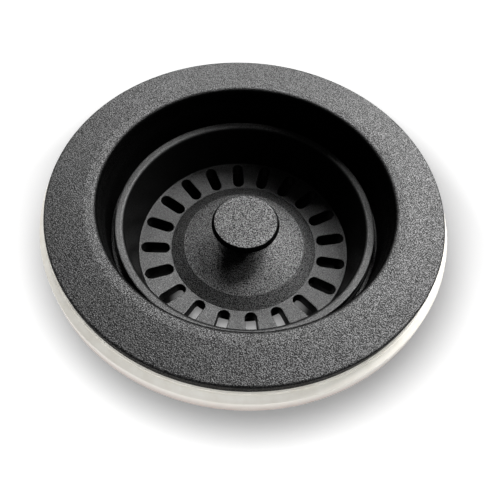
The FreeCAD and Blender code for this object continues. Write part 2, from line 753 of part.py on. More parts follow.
def stopper():
    """Rubber disc under the floor, hollowed round the hub nut and tapered below."""
    body = new_body("stopper")
    revolve(body, "stopper_moulding", [
        (STEM_HOLE, STOPPER_WEB_TOP),
        (D.stopper_recess, STOPPER_WEB_TOP),
        (D.stopper_recess, D.stopper_top),
        (D.stopper_radius, D.stopper_top),
        (D.stopper_radius, D.stopper_top - D.stopper_side),
        (D.stopper_foot, D.stopper_bottom),
        (STEM_HOLE, D.stopper_bottom),
    ])
    soft = D.stopper_side / 4
    dress(body, "Fillet", "stopper_rounding", soft, [
        (D.stopper_radius, D.stopper_top),
        (D.stopper_radius, D.stopper_top - D.stopper_side),
        (D.stopper_foot, D.stopper_bottom),
    ])
    return body


# ---------------------------------------------------------------- assembly

def build():
    """Make every piece of the flange, the clamp, the strainer and its plunger."""
    sink_flange()
    rim_gasket()
    washer("fibre_gasket", D.clamp_bore, D.fibre_radius, FIBRE_TOP, D.fibre_thickness)
    backup_flange()
    mounting_ring()
    for number, angle in enumerate(SCREW_ANGLES, start=1):
        clamp_screw(number, angle)
    snap_ring()
    strainer_basket()
    basket_seal()
    centre_cap()
    washer("hub_washer", HUB_BORE, D.washer_radius, FLOOR_BOTTOM, D.washer_thickness)
    hub_nut_top = FLOOR_BOTTOM - D.washer_thickness
    nut("hub_nut", D.hub_nut_radius, HUB_BORE, hub_nut_top, D.hub_nut_height)
    guide_bush()
    stem_o_ring()
    knob()
    knob_insert()
    stem()
    washer("stem_clip", D.stem_radius + D.fit_gap, D.clip_radius, D.clip_top, D.clip_thickness)
    upper_top = STOPPER_WEB_TOP + D.plate_thickness
    washer("upper_washer", STEM_HOLE, D.plate_radius, upper_top, D.plate_thickness)
    stopper()
    washer("lower_washer", STEM_HOLE, D.plate_radius, D.stopper_bottom, D.plate_thickness)
    nut_top = D.stopper_bottom - D.plate_thickness
    nut("stem_nut", D.stem_nut_radius, STEM_HOLE, nut_top, D.stem_nut_height)
    DOC.recompute()


def check():
    """Stop if any object of the document failed, or any node's shape is unusable."""
    for item in DOC.Objects:
        if "Invalid" in item.State or "Error" in item.State:
            raise RuntimeError(f"{item.Name} failed: {item.State}")
    for node in NODES:
        if node.Shape.isNull() or not node.Shape.isValid():
            raise RuntimeError(f"{node.Label} has no valid shape")
        if len(node.Shape.Solids) != 1:
            raise RuntimeError(f"{node.Label} has {len(node.Shape.Solids)} solids")


def export():
    """Write one STEP file for each node."""
    os.makedirs("parts", exist_ok=True)
    for node in NODES:
        node.Shape.exportStep(f"parts/{node.Label}.step")
        box = node.Shape.BoundBox
        print(f"{node.Label:18s} z {box.ZMin:7.2f} to {box.ZMax:7.2f}  volume {node.Shape.Volume:9.1f}")


build()
check()
export()
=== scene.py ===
"""Looks for the garbage disposal sink flange: dense turned meshes, procedural finishes, studio.

Frame: metres, +Z up, origin on the flange's axis in the plane of the sink deck.
Outlines are written in millimetres and scaled once, when a mesh is made.
"""
import bmesh
import bpy
import math
from mathutils import Matrix, Vector


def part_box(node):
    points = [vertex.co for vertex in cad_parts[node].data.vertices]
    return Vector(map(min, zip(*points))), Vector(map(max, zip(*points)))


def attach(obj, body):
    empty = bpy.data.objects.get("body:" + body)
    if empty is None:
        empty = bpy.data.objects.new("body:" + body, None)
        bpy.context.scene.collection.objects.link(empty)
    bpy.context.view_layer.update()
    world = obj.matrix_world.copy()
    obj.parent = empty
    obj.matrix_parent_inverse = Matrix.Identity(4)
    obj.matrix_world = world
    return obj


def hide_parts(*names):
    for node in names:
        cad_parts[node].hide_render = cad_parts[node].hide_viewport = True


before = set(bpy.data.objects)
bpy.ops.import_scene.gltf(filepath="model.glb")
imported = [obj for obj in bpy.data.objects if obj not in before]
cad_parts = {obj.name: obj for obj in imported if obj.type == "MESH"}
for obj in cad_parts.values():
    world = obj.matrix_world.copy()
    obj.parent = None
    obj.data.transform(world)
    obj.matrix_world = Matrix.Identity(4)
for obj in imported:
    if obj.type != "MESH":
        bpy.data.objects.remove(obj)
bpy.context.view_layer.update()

# Sizes below are in millimetres, apart from the studio's.
MM = 0.001
SLOTS = 20
STEPS_PER_SLOT = 12
SEGMENTS = SLOTS * STEPS_PER_SLOT
FINE_SEGMENTS = 96
ARC_STEP = math.radians(9)
CORNER_SHARE = 0.9
SUPPORT = 0.12
SHARP_ANGLE = math.radians(35)
WELD_DISTANCE = 0.002
SMALLEST_EDGE = 0.001


def extent(node):
    """Reach along +X, which is the radius of a turned node, then bottom and top, in millimetres."""
    low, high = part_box(node)
    return high.x / MM, low.z / MM, high.z / MM


# ---------------------------------------------------------------- meshes

def rounded(corners, closed=True, step=2.0):
    """Points along an outline of (radius, height, rounding) corners, with every corner rounded."""
    count = len(corners)
    points = []
    for index, (across, up, rounding) in enumerate(corners):
        corner = Vector((across, up))
        is_end = not closed and index in (0, count - 1)
        if rounding == 0 or is_end:
            points.append(corner)
            continue
        before = Vector(corners[index - 1][:2]) - corner
        after = Vector(corners[(index + 1) % count][:2]) - corner
        points.extend(corner_arc(corner, before, after, rounding))
    return with_supports(points, closed, step)


def corner_arc(corner, before, after, rounding):
    """Points of the arc that rounds a corner, using at most a share of the two sides it joins."""
    opening = before.angle(after)
    room = CORNER_SHARE * min(before.length, after.length)
    reach = min(rounding / math.tan(opening / 2), room)
    radius = reach * math.tan(opening / 2)
    middle = (before.normalized() + after.normalized()).normalized()
    centre = corner + middle * (radius / math.sin(opening / 2))
    start = corner + before.normalized() * reach - centre
    end = corner + after.normalized() * reach - centre
    turn = start.angle_signed(end)
    steps = max(3, round(abs(turn) / ARC_STEP))
    arc = []
    for number in range(steps + 1):
        angle = -turn * number / steps
        arc.append(centre + Matrix.Rotation(angle, 2) @ start)
    return arc


def with_supports(points, closed, step):
    """Add points near both ends of long straights, and between them, so that flats shade flat."""
    result = []
    count = len(points)
    for index, point in enumerate(points):
        result.append(point)
        if index == count - 1 and not closed:
            break
        along = points[(index + 1) % count] - point
        length = along.length
        if length < 4 * SUPPORT:
            continue
        inner = length - 2 * SUPPORT
        pieces = max(1, round(inner / step))
        for number in range(pieces + 1):
            result.append(point + along.normalized() * (SUPPORT + inner * number / pieces))
    return result


class Surface:
    """Vertices and faces of a mesh that is being put together, in millimetres."""

    def __init__(self):
        self.points = []
        self.faces = []

    def add_loops(self, loops):
        """Join closed loops of equally many points with quads."""
        width = len(loops[0])
        base = len(self.points)
        for loop in loops:
            self.points.extend(loop)
        for row in range(len(loops) - 1):
            lower = base + row * width
            upper = lower + width
            for column in range(width):
                beside = (column + 1) % width
                self.faces.append([lower + column, lower + beside, upper + beside, upper + column])

    def lathe(self, outline, segments, first_angle=0.0, closed=True):
        """Turn an outline of radius, height points about the Z axis."""
        loops = []
        for radius, height in outline:
            loops.append(circle_points(radius, height, segments, first_angle))
        if closed:
            loops.append(loops[0])
        self.add_loops(loops)

    def mesh(self, name):
        """The finished mesh in metres, welded, with outward normals and smooth shading."""
        mesh = bpy.data.meshes.new(name)
        scaled = [tuple(value * MM for value in point) for point in self.points]
        mesh.from_pydata(scaled, [], self.faces)
        weld(mesh)
        mesh.shade_smooth()
        mesh.set_sharp_from_angle(angle=SHARP_ANGLE)
        return mesh


def circle_points(radius, height, segments, first_angle=0.0):
    """Points round the Z axis at one radius and height."""
    points = []
    for number in range(segments):
        angle = first_angle + 2 * math.pi * number / segments
        points.append((radius * math.cos(angle), radius * math.sin(angle), height))
    return points


def placed(loops, angle, reach=0.0):
    """Loops moved out along +X by a reach, then turned about the Z axis."""
    cos, sin = math.cos(angle), math.sin(angle)
    result = []
    for loop in loops:
        result.append([((reach + x) * cos - y * sin, (reach + x) * sin + y * cos, z)
                       for x, y, z in loop])
    return result


def weld(mesh):
    """Merge points in the same place, drop empty faces and turn every normal outwards."""
    work = bmesh.new()
    work.from_mesh(mesh)
    bmesh.ops.remove_doubles(work, verts=work.verts, dist=WELD_DISTANCE * MM)
    bmesh.ops.dissolve_degenerate(work, edges=work.edges, dist=SMALLEST_EDGE * MM)
    bmesh.ops.recalc_face_normals(work, faces=work.faces)
    work.to_mesh(mesh)
    work.free()


def show(mesh, nodes, body, material):
    """Put a mesh in the scene in place of CAD nodes, riding on their body."""
    name = f"{nodes[0]}_look"
    piece = bpy.data.objects.new(name, mesh)
    bpy.context.scene.collection.objects.link(piece)
    mesh.materials.append(material)
    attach(piece, body)
    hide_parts(*nodes)
    return piece


def turned(node, corners, body, material, segments=SEGMENTS, closed=True, step=2.0):
    """A turned piece in place of a CAD node."""
    surface = Surface()
    surface.lathe(rounded(corners, closed, step), segments, closed=closed)
    return show(surface.mesh(node), [node], body, material)


# ---------------------------------------------------------------- materials

class Finish:
    """A procedural material that is being put together."""

    def __init__(self, name, roughness, metallic=0.0, specular=0.5):
        self.material = bpy.data.materials.new(name)
        self.material.use_nodes = True
        self.tree = self.material.node_tree
        self.shader = self.tree.nodes["Principled BSDF"]
        self.shader.inputs["Roughness"].default_value = roughness
        self.shader.inputs["Metallic"].default_value = metallic
        self.shader.inputs["Specular IOR Level"].default_value = specular
        self.place = self.node("ShaderNodeTexCoord").outputs["Object"]

    def node(self, kind, inputs=None, **settings):
        """A new node with constants or links on its inputs, and its own settings."""
        node = self.tree.nodes.new(kind)
        for key, value in settings.items():
            setattr(node, key, value)
        for key, value in (inputs or {}).items():
            socket = node.inputs[key]
            if isinstance(value, bpy.types.NodeSocket):
                self.tree.links.new(value, socket)
            else:
                socket.default_value = value
        return node

    def noise(self, size, detail=2.0, roughness=0.5, distortion=0.0, place=None):
        """Noise with grains of a size in millimetres."""
        return self.node("ShaderNodeTexNoise", {
            "Vector": place or self.place, "Scale": 1 / (size * MM), "Detail": detail,
            "Roughness": roughness, "Distortion": distortion}).outputs["Fac"]

    def cells(self, size, output="Distance"):
        """Cells of a size in millimetres."""
        return self.node("ShaderNodeTexVoronoi", {
            "Vector": self.place, "Scale": 1 / (size * MM)}).outputs[output]

    def spread(self, value, low, high, new_low, new_high):
        """Move a value from one range to another, without leaving the new one."""
        return self.node("ShaderNodeMapRange", {
            "Value": value, "From Min": low, "From Max": high,
            "To Min": new_low, "To Max": new_high}).outputs["Result"]

    def tones(self, value, stops):
        """Colours along a value; stops are position, colour pairs."""
        ramp = self.node("ShaderNodeValToRGB", {"Fac": value})
        elements = ramp.color_ramp.elements
        while len(elements) < len(stops):
            elements.new(0.5)
        for element, (position, colour) in zip(elements, stops):
            element.position = position
            element.color = (*colour, 1.0)
        return ramp.outputs["Color"]

    def blend(self, share, first, second, mode="MIX"):
        """Mix two colours by a share."""
        return self.node("ShaderNodeMixRGB", {"Fac": share, "Color1": first, "Color2": second},
                         blend_type=mode).outputs["Color"]

    def join(self, first, second, operation="ADD"):
        """Arithmetic on two values."""
        return self.node("ShaderNodeMath", {0: first, 1: second}, operation=operation).outputs[0]

    def height(self):
        """Height above the deck plane, in metres."""
        return self.node("ShaderNodeSeparateXYZ", {"Vector": self.place}).outputs["Z"]

    def levelness(self):
        """One on a level face, nothing on an upright one."""
        normal = self.node("ShaderNodeNewGeometry").outputs["True Normal"]
        up = self.node("ShaderNodeSeparateXYZ", {"Vector": normal}).outputs["Z"]
        return self.node("ShaderNodeMath", {0: up}, operation="ABSOLUTE").outputs[0]

    def drive(self, name, socket):
        """Let a socket set one of the shader's inputs."""
        self.tree.links.new(socket, self.shader.inputs[name])

    def colour(self, socket):
        """Set the colour."""
        self.drive("Base Color", socket)

    def roughness(self, socket):
        """Set the roughness."""
        self.drive("Roughness", socket)

    def specular(self, socket):
        """Set how strongly the surface mirrors; the export leaves this one out."""
        self.drive("Specular IOR Level", socket)

    def relief(self, *layers):
        """Stack bump layers; each is a height value, a depth in millimetres and a strength."""
        normal = None
        for value, depth, strength in layers:
            inputs = {"Height": value, "Distance": depth * MM, "Strength": strength}
            if normal is not None:
                inputs["Normal"] = normal
            normal = self.node("ShaderNodeBump", inputs).outputs["Normal"]
        self.drive("Normal", normal)


def grey(value):
    """A colour without hue."""
    return (value, value, value)


def sandy_coating(name, grain, depth, roughness, dark, light, sparkle):
    """Matt black baked coating with a sandy grain.

    Sparkle is how much its grains differ in shine. Upright faces get painted shade: plain dark colour
    without specks, and hardly any shine.
    """
    finish = Finish(name, roughness)
    sand = finish.noise(grain, detail=1.0, roughness=0.5)
    pits = finish.cells(grain * 1.3)
    patches = finish.noise(grain * 40, detail=3.0)
    # Painted shade: upright faces, such as the throat's walls, lose their specks and keep only the
    # dark colour.
    level = finish.spread(finish.levelness(), 0.75, 0.97, 0.0, 1.0)
    specks = finish.tones(sand, [(0.45, grey(dark)), (0.62, grey(light))])
    specks_and_painted_shade = finish.blend(level, (dark, dark, dark, 1.0), specks)
    warm = finish.tones(patches, [(0.35, (0.96, 0.97, 1.0)), (0.65, (1.0, 0.99, 0.97))])
    finish.colour(finish.blend(1.0, specks_and_painted_shade, warm, "MULTIPLY"))
    glints = finish.spread(sand, 0.30, 0.70, 0.15 * sparkle, -0.15 * sparkle)
    wear = finish.spread(patches, 0.30, 0.70, -0.02, 0.02)
    finish.roughness(finish.join(roughness, finish.join(glints, wear)))
    # Painted shade too: the shine is cut on upright faces, so they stay dark.
    shine = finish.spread(finish.levelness(), 0.55, 0.95, 0.05, 0.5)
    uneven = finish.spread(sand, 0.38, 0.62, 1 - sparkle, 1 + sparkle)
    finish.specular(finish.join(shine, uneven, "MULTIPLY"))
    finish.relief((sand, depth, 1.0), (pits, depth * 0.4, 0.5))
    return finish.material


def cream_rubber():
    """Cream gasket rubber, faintly mottled, with painted shade that makes it darker and pinker
    towards its foot.
    """
    finish = Finish("cream_rubber", 0.42)
    mottle = finish.noise(3.0, detail=4.0, roughness=0.6)
    fine = finish.noise(0.35, detail=2.0)
    body = finish.tones(mottle, [(0.30, (0.80, 0.77, 0.70)), (0.70, (0.87, 0.85, 0.79))])
    # Painted shade: the gasket is darkened and tinted pink towards its foot.
    low = finish.spread(finish.height(), 0.5 * MM, 5.5 * MM, 1.0, 0.0)
    finish.colour(finish.blend(low, body, (0.40, 0.32, 0.28, 1.0)))
    finish.roughness(finish.spread(mottle, 0.3, 0.7, 0.36, 0.5))
    finish.relief((mottle, 0.05, 0.5), (fine, 0.01, 0.4))
    return finish.material


def black_rubber():
    """Soft black rubber with a faint bloom."""
    finish = Finish("black_rubber", 0.6, specular=0.12)
    bloom = finish.noise(6.0, detail=5.0, roughness=0.6)
    fine = finish.noise(0.3, detail=2.0)
    finish.colour(finish.tones(bloom, [(0.35, grey(0.003)), (0.70, grey(0.007))]))
    finish.roughness(finish.spread(bloom, 0.3, 0.7, 0.5, 0.72))
    finish.relief((fine, 0.012, 0.6))
    return finish.material


def plated_steel():
    """Zinc-plated steel: cloudy patches over small crystals, with a faint yellowish cast."""
    finish = Finish("plated_steel", 0.36, metallic=1.0)
    crystals = finish.cells(1.6, output="Color")
    cloud = finish.noise(7.0, detail=5.0, roughness=0.65)
    fine = finish.noise(0.25, detail=2.0)
    shade = finish.node("ShaderNodeRGBToBW", {"Color": crystals}).outputs["Val"]
    crystal_share = 0.3
    cloud_share = 0.7
    mixed = finish.join(finish.join(shade, crystal_share, "MULTIPLY"),
                        finish.join(cloud, cloud_share, "MULTIPLY"))
    finish.colour(finish.tones(mixed, [(0.30, (0.27, 0.27, 0.27)), (0.65, (0.45, 0.44, 0.41))]))
    finish.roughness(finish.spread(mixed, 0.25, 0.70, 0.22, 0.42))
    finish.relief((cloud, 0.015, 0.4), (fine, 0.006, 0.5))
    return finish.material


def turned_metal(name, dark, light, roughness, pitch=0.12):
    """Metal turned on a lathe: fine marks drawn out level round the axis, and stains."""
    finish = Finish(name, roughness, metallic=1.0)
    squeeze = 8
    squeezed = finish.node("ShaderNodeMapping", {
        "Vector": finish.place, "Scale": (1, 1, squeeze)}).outputs[0]
    stain = finish.noise(3.5, detail=4.0, roughness=0.6)
    rings = finish.noise(pitch * squeeze, detail=2.0, place=squeezed)
    finish.colour(finish.tones(stain, [(0.30, dark), (0.70, light)]))
    finish.roughness(finish.spread(stain, 0.3, 0.7, roughness - 0.08, roughness + 0.08))
    finish.relief((rings, 0.01, 0.5))
    return finish.material


def red_fibre():
    """Vulcanised fibre: red-brown pulp with threads that stand out."""
    finish = Finish("red_fibre", 0.62)
    pulp = finish.noise(1.2, detail=6.0, roughness=0.7)
    threads = finish.noise(0.5, detail=3.0, distortion=2.5)
    finish.colour(finish.tones(pulp, [(0.30, (0.16, 0.035, 0.022)), (0.70, (0.30, 0.075, 0.045))]))
    finish.roughness(finish.spread(threads, 0.3, 0.7, 0.5, 0.75))
    finish.relief((threads, 0.04, 0.6))
    return finish.material


def milky_acetal():
    """Off-white acetal with faint flow marks."""
    finish = Finish("milky_acetal", 0.38)
    flow = finish.noise(2.5, detail=3.0, distortion=1.5)
    finish.colour(finish.tones(flow, [(0.3, (0.70, 0.69, 0.64)), (0.7, (0.80, 0.79, 0.75))]))
    finish.roughness(finish.spread(flow, 0.3, 0.7, 0.32, 0.45))
    finish.relief((flow, 0.01, 0.4))
    return finish.material


# ---------------------------------------------------------------- flange and gasket

FLANGE_EDGE = 0.3
RIM_THICKNESS = 3.7
RIM_ROUND = 0.6
MOUTH_RADIUS = 43.0
MOUTH_DIP = 0.6
MOUTH_ROUND = 1.6
MOUTH_CROWN = 46.3
MOUTH_CROWN_ROUND = 6.0
THROAT_RADIUS = 42.4
THROAT_TOP = 2.0
FLARE_TOP = 4.5
SEAT_HEIGHT = -7.0
BOSS_RADIUS = 44.3
COLLAR_RADIUS = 43.9
COLLAR_BOTTOM = -8.6
SHOULDER_BOTTOM = -10.2
NECK_RADIUS = 41.2
NECK_BORE = 39.4
GROOVE_FLOOR = 40.2
GROOVE_TOP = -30.2
GROOVE_BOTTOM = -32.8

GASKET_BORE = 44.6
GASKET_EDGE = 0.45
GASKET_SHOULDER = 59.5
GASKET_SHOULDER_HEIGHT = 5.0
STEP_RADIUS = 57.9
STEP_DEPTH = 0.45
LAND_RADIUS = 57.45
RIBS = 3
RIB_HALF = 0.8


def sink_flange(material):
    """Rim, rolled mouth, throat, strainer ledge, sink-hole collar and neck."""
    rim_radius, neck_bottom, rim_top = extent("sink_flange")
    rim_under = rim_top - RIM_THICKNESS
    return turned("sink_flange", [
        (MOUTH_RADIUS, rim_top - MOUTH_DIP, MOUTH_ROUND),
        (MOUTH_CROWN, rim_top, MOUTH_CROWN_ROUND),
        (rim_radius, rim_top, RIM_ROUND),
        (rim_radius, rim_under, FLANGE_EDGE),
        (BOSS_RADIUS, rim_under, FLANGE_EDGE),
        (BOSS_RADIUS, 0, 0.1),
        (COLLAR_RADIUS, 0, 0.1),
        (COLLAR_RADIUS, COLLAR_BOTTOM, 0.4),
        (NECK_RADIUS, SHOULDER_BOTTOM, 0.6),
        (NECK_RADIUS, GROOVE_TOP, 0.08),
        (GROOVE_FLOOR, GROOVE_TOP, 0.15),
        (GROOVE_FLOOR, GROOVE_BOTTOM, 0.15),
        (NECK_RADIUS, GROOVE_BOTTOM, 0.08),
        (NECK_RADIUS, neck_bottom, FLANGE_EDGE),
        (NECK_BORE, neck_bottom, FLANGE_EDGE),
        (NECK_BORE, SEAT_HEIGHT, FLANGE_EDGE),
        (THROAT_RADIUS, SEAT_HEIGHT, 0.5),
        (THROAT_RADIUS, THROAT_TOP, 0.3),
        (MOUTH_RADIUS, FLARE_TOP, 0.3),
    ], "flange", material)


def rim_gasket(material):
    """Cream ring under the rim: land, step, sloping top, leaning side and a ribbed foot."""
    gasket_radius, foot, land = extent("rim_gasket")
    rib_gap = (gasket_radius - GASKET_BORE) / (RIBS + 1)
    corners = [(GASKET_BORE, foot, 0.3)]
    for number in range(1, RIBS + 1):
        middle = GASKET_BORE + rib_gap * number
        corners.append((middle - RIB_HALF, foot, 0.15))
        corners.append((middle, foot + RIB_HALF, 0.2))
        corners.append((middle + RIB_HALF, foot, 0.15))
    corners += [
        (gasket_radius, foot, GASKET_EDGE),
        (GASKET_SHOULDER, GASKET_SHOULDER_HEIGHT, GASKET_EDGE),
        (STEP_RADIUS, land - STEP_DEPTH, 0.1),
        (LAND_RADIUS, land - STEP_DEPTH, 0.1),
        (LAND_RADIUS, land, 0.12),
        (GASKET_BORE, land, 0.3),
    ]
    return turned("rim_gasket", corners, "flange", material)


# ---------------------------------------------------------------- strainer

SLOT_HALF = 1.9
SLOT_NEAR = 25.5 + SLOT_HALF
SLOT_FAR = 34.8 - SLOT_HALF
SLOT_EDGE = 0.25
SLOT_START = math.radians(9.75)
SECTOR = 2 * math.pi / SLOTS
SECTOR_INNER = 24.6
SECTOR_OUTER = 35.15
FLOOR_CENTRE = -20.6
FLOOR_EDGE = -19.0
FLOOR_THICKNESS = 4.6
CAP_RADIUS = 25.05
HUB_BORE = 8.03
CUP_RADIUS = 35.6
CUP_FOOT = 37.4
CUP_WALL = 38.8
LIP_INNER = 37.7
LIP_SLOPE = 0.4
LIP_ROUND = 1.4
LIP_CREST = 39.9
LIP_CREST_ROUND = 1.0
LIP_BOTTOM = -5.6
SIDE_STEPS = 6
EDGE_STEPS = 4
FACE_SHARES = (0.0, 0.3, 0.6, 0.85, 1.0)


def floor_top(radius):
    """Height of the strainer's floor at a radius: flat under the cap, then a shallow cone."""
    if radius < CAP_RADIUS:
        return FLOOR_CENTRE
    share = (radius - CAP_RADIUS) / (CUP_RADIUS - CAP_RADIUS)
    return FLOOR_CENTRE + share * (FLOOR_EDGE - FLOOR_CENTRE)


def floor_under(radius):
    """Height of the strainer's underside at a radius."""
    if radius < CAP_RADIUS:
        return FLOOR_CENTRE - FLOOR_THICKNESS
    share = (radius - CAP_RADIUS) / (CUP_FOOT - CAP_RADIUS)
    return FLOOR_CENTRE - FLOOR_THICKNESS + share * (FLOOR_EDGE - FLOOR_CENTRE)


def sector_boundary():
    """Plan of one sector's edge, anticlockwise from its outer right corner."""
    half = SECTOR / 2
    plan = []
    for number in range(STEPS_PER_SLOT):
        angle = -half + SECTOR * number / STEPS_PER_SLOT
        plan.append((SECTOR_OUTER * math.cos(angle), SECTOR_OUTER * math.sin(angle)))
    for number in range(SIDE_STEPS):
        radius = SECTOR_OUTER + (SECTOR_INNER - SECTOR_OUTER) * number / SIDE_STEPS
        plan.append((radius * math.cos(half), radius * math.sin(half)))
    for number in range(STEPS_PER_SLOT):
        angle = half - SECTOR * number / STEPS_PER_SLOT
        plan.append((SECTOR_INNER * math.cos(angle), SECTOR_INNER * math.sin(angle)))
    for number in range(SIDE_STEPS):
        radius = SECTOR_INNER + (SECTOR_OUTER - SECTOR_INNER) * number / SIDE_STEPS
        plan.append((radius * math.cos(half), -radius * math.sin(half)))
    return plan


def slot_plan(grow):
    """Plan of a round-ended slot, grown outwards, with its points in step with the sector's edge."""
    half = SLOT_HALF + grow
    plan = []
    for number in range(STEPS_PER_SLOT):
        angle = -math.pi / 2 + math.pi * number / STEPS_PER_SLOT
        plan.append((SLOT_FAR + half * math.cos(angle), half * math.sin(angle)))
    for number in range(SIDE_STEPS):
        plan.append((SLOT_FAR + (SLOT_NEAR - SLOT_FAR) * number / SIDE_STEPS, half))
    for number in range(STEPS_PER_SLOT):
        angle = math.pi / 2 + math.pi * number / STEPS_PER_SLOT
        plan.append((SLOT_NEAR + half * math.cos(angle), half * math.sin(angle)))
    for number in range(SIDE_STEPS):
        plan.append((SLOT_NEAR + (SLOT_FAR - SLOT_NEAR) * number / SIDE_STEPS, -half))
    return plan


def face_loops(surface_height):
    """Loops over one face of a sector, from its edge to the slot's rounded edge."""
    outer = sector_boundary()
    inner = slot_plan(SLOT_EDGE)
    loops = []
    for share in FACE_SHARES:
        loop = []
        for (ax, ay), (bx, by) in zip(outer, inner):
            x = ax + (bx - ax) * share
            y = ay + (by - ay) * share
            loop.append((x, y, surface_height(math.hypot(x, y))))
        loops.append(loop)
    return loops


def edge_loops(surface_height, downwards):
    """Loops round a slot's rounded edge, from the face into the slot."""
    way = -1 if downwards else 1
    loops = []
    for number in range(1, EDGE_STEPS + 1):
        angle = math.pi / 2 * number / EDGE_STEPS
        grow = SLOT_EDGE * (1 - math.sin(angle))
        drop = way * SLOT_EDGE * (1 - math.cos(angle))
        loop = []
        for x, y in slot_plan(grow):
            loop.append((x, y, surface_height(math.hypot(x, y)) + drop))
        loops.append(loop)
    return loops


def slotted_sector(surface, angle):
    """One sector of the floor with its slot, turned to an angle."""
    loops = face_loops(floor_top)
    loops += edge_loops(floor_top, downwards=True)
    loops += edge_loops(floor_under, downwards=False)[::-1]
    loops += face_loops(floor_under)[::-1]
    surface.add_loops(placed(loops, angle))


def strainer_basket(material):
    """Lip, wall and floor with twenty slots."""
    lip_radius, _, lip_top = extent("strainer_basket")
    surface = Surface()
    for number in range(SLOTS):
        slotted_sector(surface, SLOT_START + SECTOR * number)
    first_angle = SLOT_START + SECTOR / 2
    cup = rounded([
        (SECTOR_OUTER, floor_top(SECTOR_OUTER), 0),
        (CUP_RADIUS, FLOOR_EDGE, 0.5),
        (LIP_INNER, lip_top - LIP_SLOPE, LIP_ROUND),
        (LIP_CREST, lip_top, LIP_CREST_ROUND),
        (lip_radius, lip_top, 0.3),
        (lip_radius, LIP_BOTTOM, 0.2),
        (CUP_WALL, LIP_BOTTOM, 0.3),
        (CUP_FOOT, FLOOR_EDGE - FLOOR_THICKNESS, 1.6),
        (SECTOR_OUTER, floor_under(SECTOR_OUTER), 0),
    ], closed=False)
    surface.lathe(cup, SEGMENTS, first_angle, closed=False)
    hub = rounded([
        (SECTOR_INNER, floor_under(SECTOR_INNER), 0),
        (HUB_BORE, floor_under(HUB_BORE), 0.2),
        (HUB_BORE, FLOOR_CENTRE, 0.2),
        (SECTOR_INNER, FLOOR_CENTRE, 0),
    ], closed=False)
    surface.lathe(hub, SEGMENTS, first_angle, closed=False)
    mesh = surface.mesh("strainer_basket")
    return show(mesh, ["strainer_basket"], "strainer", material)


def centre_cap(material):
    """Bevelled disc with a flared collar round the knob's shank, and its spigot."""
    cap_radius, spigot_bottom, cap_top = extent("centre_cap")
    shank_bore = 5.06
    collar_radius = 6.6
    flare_radius = 9.4
    flare_drop = 1.1
    face_radius = 20.5
    face_height = -18.8
    spigot_radius = 8.0
    return turned("centre_cap", [
        (shank_bore, cap_top, 0.15),
        (collar_radius, cap_top, 0.28),
        (flare_radius, cap_top - flare_drop, 1.8),
        (face_radius, face_height, 0.45),
        (cap_radius, FLOOR_CENTRE, 0.05),
        (spigot_radius, FLOOR_CENTRE, 0.3),
        (spigot_radius, spigot_bottom, 0.3),
        (shank_bore, spigot_bottom, 0.3),
    ], "strainer", material, step=1.0)


def knob(material):
    """Mushroom knob: flat face, bevelled edge, tapering side and a shank with a bore."""
    knob_radius, shank_bottom, knob_top = extent("knob")
    face_radius = 10.1
    bevel = 1.5
    edge = 0.45
    under_radius = 8.6
    under = knob_top - 3.8
    shank_radius = 5.0
    insert_bore = 3.93
    insert_top = -9.2
    corners = [
        (0, knob_top, 0),
        (face_radius, knob_top, 0.3),
        (knob_radius, knob_top - bevel, edge),
        (under_radius, under, edge),
        (shank_radius, under, 0.9),
        (shank_radius, shank_bottom, 0.2),
        (insert_bore, shank_bottom, 0.2),
        (insert_bore, insert_top, 0.2),
        (0, insert_top, 0),
    ]
    return turned("knob", corners, "plunger", material,
                  FINE_SEGMENTS, closed=False, step=1.0)


# ---------------------------------------------------------------- clamp screws

SCREW_REACH = 48.8
SCREW_ANGLES = (70, 190, 310)
SCREW_RADIUS = 3.175
THREAD_ROOT = 2.62
THREAD_PITCH = 1.27
THREAD_SEGMENTS = 36
ROWS_PER_TURN = 10
CREST_FLAT = 1.15
TIP_CHAMFER = 1.0
HEAD_RADIUS = 5.4
HEAD_HEIGHT = 4.2
HEAD_CHAMFER = 0.35
DRIVE_HALF = 0.7
DRIVE_DEPTH = 1.8
SHANK_IN_HEAD = 0.2


def thread_loops(bottom, top):
    """Loops up a shank whose right-hand thread climbs round it, chamfered at its tip."""
    rows = round((top - bottom) / THREAD_PITCH * ROWS_PER_TURN)
    loops = [circle_points(0, bottom, THREAD_SEGMENTS)]
    for row in range(rows + 1):
        height = bottom + (top - bottom) * row / rows
        limit = SCREW_RADIUS - max(0.0, TIP_CHAMFER - (top - height))
        loop = []
        for number in range(THREAD_SEGMENTS):
            phase = (height / THREAD_PITCH - number / THREAD_SEGMENTS) % 1.0
            climb = min(1.0, CREST_FLAT * (1 - abs(2 * phase - 1)))
            radius = min(limit, THREAD_ROOT + (SCREW_RADIUS - THREAD_ROOT) * climb)
            angle = 2 * math.pi * number / THREAD_SEGMENTS
            loop.append((radius * math.cos(angle), radius * math.sin(angle), height))
        loops.append(loop)
    loops.append(circle_points(0, top, THREAD_SEGMENTS))
    return loops


def prism_loops(plan, low, high, chamfer_low):
    """Loops over a closed prism on a plan, with its lower or its upper edge chamfered."""
    centre = Vector((sum(x for x, _ in plan), sum(y for _, y in plan))) / len(plan)
    inset = 1 - HEAD_CHAMFER / HEAD_RADIUS
    if chamfer_low:
        levels = [(0, low), (inset, low), (1, low + HEAD_CHAMFER), (1, high), (0, high)]
    else:
        levels = [(0, low), (1, low), (1, high - HEAD_CHAMFER), (inset, high), (0, high)]
    loops = []
    for scale, height in levels:
        loop = []
        for x, y in plan:
            across = centre.x + (x - centre.x) * scale
            along = centre.y + (y - centre.y) * scale
            loop.append((across, along, height))
        loops.append(loop)
    return loops


